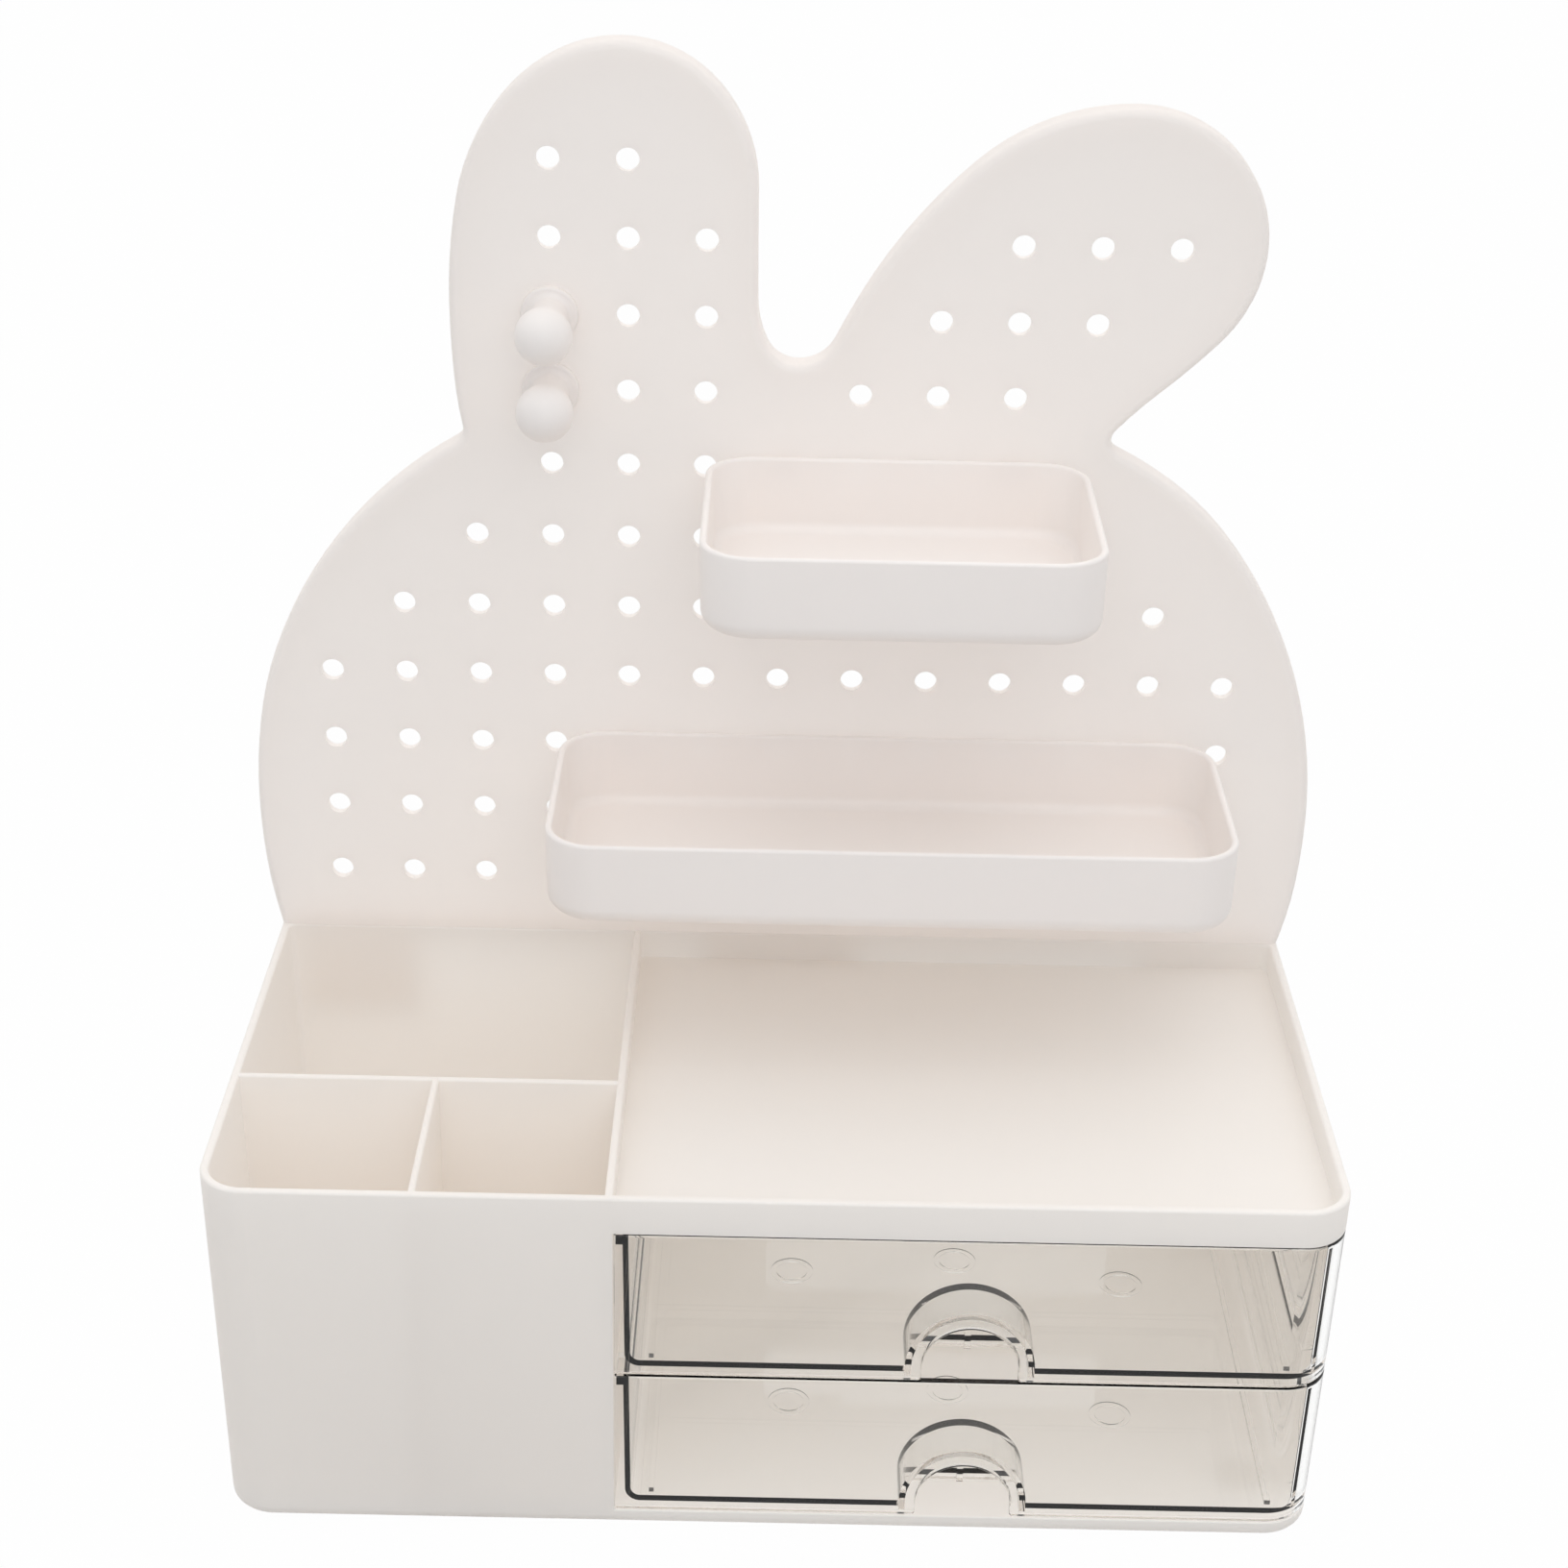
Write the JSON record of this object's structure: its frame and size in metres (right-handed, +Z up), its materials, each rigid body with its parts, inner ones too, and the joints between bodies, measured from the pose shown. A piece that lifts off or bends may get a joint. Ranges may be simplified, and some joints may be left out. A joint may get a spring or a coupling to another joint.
{
  "type": "desk organizer",
  "caption": "Desk organizer: casing with open compartments, tray-shaped top and clear drawers, and a pegboard with trays and pegs.",
  "frame": {"origin": "on the table, under the middle of the whole object's footprint", "axes": "+X to the right seen from the front, +Y to the back, +Z up; the drawers open towards -Y"},
  "size_m": [0.289, 0.143, 0.3468],
  "materials": {
    "casing_plastic": "smooth satin moulded white plastic",
    "board_plastic": "smooth satin moulded warm white plastic",
    "clear_plastic": "polished clear moulded plastic",
    "tray_plastic": "smooth satin moulded white plastic, slightly translucent",
    "foot_rubber": "soft matte pad"
  },
  "bodies": {
    "root": {"casing": "casing_plastic", "foot_front_left": "foot_rubber", "foot_front_right": "foot_rubber", "foot_rear_left": "foot_rubber", "foot_rear_right": "foot_rubber"},
    "board": {"pegboard": "board_plastic"},
    "lower_drawer": {"drawer_lower": "clear_plastic"},
    "upper_drawer": {"drawer_upper": "clear_plastic"},
    "small_tray": {"tray_small": "tray_plastic"},
    "long_tray": {"tray_long": "tray_plastic"},
    "upper_peg": {"peg_upper": "tray_plastic"},
    "lower_peg": {"peg_lower": "tray_plastic"}
  },
  "joints": [
    {"name": "drawer_upper_slide", "type": "slide", "parent": "root", "child": "upper_drawer", "axis": [0, -1, 0], "range_m": [0, 0.105]},
    {"name": "drawer_lower_slide", "type": "slide", "parent": "root", "child": "lower_drawer", "axis": [0, -1, 0], "range_m": [0, 0.105]},
    {"name": "board_lift", "type": "slide", "parent": "root", "child": "board", "axis": [0, 0, 1], "range_m": [0, 0.026]},
    {"name": "tray_small_pull", "type": "slide", "parent": "board", "child": "small_tray", "axis": [0, -1, 0], "range_m": [0, 0.008]},
    {"name": "tray_long_pull", "type": "slide", "parent": "board", "child": "long_tray", "axis": [0, -1, 0], "range_m": [0, 0.008]},
    {"name": "peg_upper_pull", "type": "slide", "parent": "board", "child": "upper_peg", "axis": [0, -1, 0], "range_m": [0, 0.008]},
    {"name": "peg_lower_pull", "type": "slide", "parent": "board", "child": "lower_peg", "axis": [0, -1, 0], "range_m": [0, 0.008]}
  ]
}
